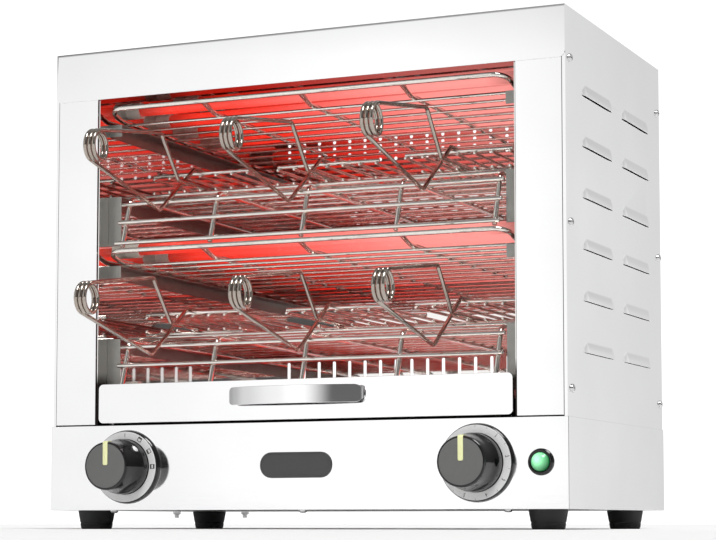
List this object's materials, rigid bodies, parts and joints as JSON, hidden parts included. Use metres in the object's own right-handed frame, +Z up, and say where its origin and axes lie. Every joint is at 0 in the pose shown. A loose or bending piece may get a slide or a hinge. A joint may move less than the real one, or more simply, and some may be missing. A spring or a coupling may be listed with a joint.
{
  "type": "clamp toaster",
  "caption": "Open-front steel catering toaster with quartz tubes, wire racks and guards, spring tongs that clamp bread, a crumb tray, a selector and a timer knob",
  "frame": {"origin": "On the floor, in the middle of the bounding box: x = 0 is the housing's middle plane, y = 0 lies midway between the foremost tong coil and the end of the cable gland", "axes": "+X to the viewer's right, +Y from the open front to the rear, +Z up"},
  "size_m": [0.444, 0.3967, 0.39],
  "materials": {
    "satin_steel": "fine satin stainless sheet",
    "polished_steel": "mirror-polished stainless sheet",
    "chrome_wire": "bright drawn stainless wire",
    "quartz": "clear quartz glass",
    "heating_core": "resistance wire, glowing",
    "ceramic": "unglazed white ceramic",
    "black_plastic": "smooth black plastic",
    "charcoal_plastic": "fine-grained charcoal plastic",
    "green_lens": "clear green plastic",
    "terminal_plastic": "moulded off-white plastic",
    "black_rubber": "matt black rubber"
  },
  "bodies": {
    "housing": {"top_cover": "satin_steel", "left_side_panel": "satin_steel", "right_side_panel": "satin_steel", "left_front_column": "satin_steel", "right_front_column": "satin_steel", "base_shell": "satin_steel", "base_floor": "satin_steel", "base_top": "satin_steel", "rear_panel": "satin_steel", "left_liner": "polished_steel", "right_liner": "polished_steel", "ceiling_reflector": "polished_steel", "top_guard": "chrome_wire", "middle_guard": "chrome_wire", "upper_rack": "chrome_wire", "lower_rack": "chrome_wire", "support_rails": "satin_steel", "quartz_tubes": "quartz", "heating_cores": "heating_core", "tube_caps": "ceramic", "selector_ring": "black_plastic", "selector_switch": "black_plastic", "timer_ring": "black_plastic", "timer_body": "black_plastic", "lamp_bezel": "black_plastic", "lamp_lens": "green_lens", "badge_plate": "black_plastic", "terminal_block": "terminal_plastic", "cable_gland": "black_plastic", "feet": "black_rubber", "screws": "satin_steel"},
    "crumb_tray": {"crumb_pan": "satin_steel", "tray_front": "satin_steel", "tray_handle": "satin_steel"},
    "selector": {"selector_knob": "charcoal_plastic"},
    "timer": {"timer_knob": "charcoal_plastic"},
    "tong_1": {"tong_1_spring": "chrome_wire", "tong_1_jaw": "chrome_wire"},
    "tong_1_arm": {"tong_1_lever": "chrome_wire", "tong_1_clamp": "chrome_wire"},
    "tong_2": {"tong_2_spring": "chrome_wire", "tong_2_jaw": "chrome_wire"},
    "tong_2_arm": {"tong_2_lever": "chrome_wire", "tong_2_clamp": "chrome_wire"},
    "tong_3": {"tong_3_spring": "chrome_wire", "tong_3_jaw": "chrome_wire"},
    "tong_3_arm": {"tong_3_lever": "chrome_wire", "tong_3_clamp": "chrome_wire"},
    "tong_4": {"tong_4_spring": "chrome_wire", "tong_4_jaw": "chrome_wire"},
    "tong_4_arm": {"tong_4_lever": "chrome_wire", "tong_4_clamp": "chrome_wire"},
    "tong_5": {"tong_5_spring": "chrome_wire", "tong_5_jaw": "chrome_wire"},
    "tong_5_arm": {"tong_5_lever": "chrome_wire", "tong_5_clamp": "chrome_wire"},
    "tong_6": {"tong_6_spring": "chrome_wire", "tong_6_jaw": "chrome_wire"},
    "tong_6_arm": {"tong_6_lever": "chrome_wire", "tong_6_clamp": "chrome_wire"}
  },
  "joints": [
    {"name": "crumb_tray_slide", "type": "slide", "parent": "housing", "child": "crumb_tray", "axis": [0, -1, 0], "range_m": [0, 0.2]},
    {"name": "selector_turn", "type": "hinge", "parent": "housing", "child": "selector", "pos_m": [-0.1495, -0.0656, 0.0496], "axis": [0, 1, 0], "range_deg": [0, 270]},
    {"name": "timer_turn", "type": "hinge", "parent": "housing", "child": "timer", "pos_m": [0.1495, -0.0656, 0.0496], "axis": [0, 1, 0], "range_deg": [0, 300]},
    {"name": "tong_1_slide", "type": "slide", "parent": "housing", "child": "tong_1", "axis": [0, -1, 0], "range_m": [0, 0.23]},
    {"name": "tong_1_hinge", "type": "hinge", "parent": "tong_1", "child": "tong_1_arm", "pos_m": [-0.11505, -0.1746, 0.28965], "axis": [1, 0, 0], "range_deg": [0, 5], "stiffness_Nm_per_rad": 2, "springref_deg": -5.73},
    {"name": "tong_2_slide", "type": "slide", "parent": "housing", "child": "tong_2", "axis": [0, -1, 0], "range_m": [0, 0.23]},
    {"name": "tong_2_hinge", "type": "hinge", "parent": "tong_2", "child": "tong_2_arm", "pos_m": [0, -0.1746, 0.28965], "axis": [1, 0, 0], "range_deg": [0, 5], "stiffness_Nm_per_rad": 2, "springref_deg": -5.73},
    {"name": "tong_3_slide", "type": "slide", "parent": "housing", "child": "tong_3", "axis": [0, -1, 0], "range_m": [-0.011, 0.23]},
    {"name": "tong_3_hinge", "type": "hinge", "parent": "tong_3", "child": "tong_3_arm", "pos_m": [0.11702, -0.1856, 0.28965], "axis": [1, 0, 0], "range_deg": [0, 5], "stiffness_Nm_per_rad": 2, "springref_deg": -5.73},
    {"name": "tong_4_slide", "type": "slide", "parent": "housing", "child": "tong_4", "axis": [0, -1, 0], "range_m": [-0.011, 0.23]},
    {"name": "tong_4_hinge", "type": "hinge", "parent": "tong_4", "child": "tong_4_arm", "pos_m": [-0.11505, -0.1856, 0.17265], "axis": [1, 0, 0], "range_deg": [0, 5], "stiffness_Nm_per_rad": 2, "springref_deg": -5.73},
    {"name": "tong_5_slide", "type": "slide", "parent": "housing", "child": "tong_5", "axis": [0, -1, 0], "range_m": [0, 0.23]},
    {"name": "tong_5_hinge", "type": "hinge", "parent": "tong_5", "child": "tong_5_arm", "pos_m": [0.00806, -0.1746, 0.17265], "axis": [1, 0, 0], "range_deg": [0, 5], "stiffness_Nm_per_rad": 2, "springref_deg": -5.73},
    {"name": "tong_6_slide", "type": "slide", "parent": "housing", "child": "tong_6", "axis": [0, -1, 0], "range_m": [0, 0.23]},
    {"name": "tong_6_hinge", "type": "hinge", "parent": "tong_6", "child": "tong_6_arm", "pos_m": [0.12096, -0.1746, 0.17265], "axis": [1, 0, 0], "range_deg": [0, 5], "stiffness_Nm_per_rad": 2, "springref_deg": -5.73}
  ]
}
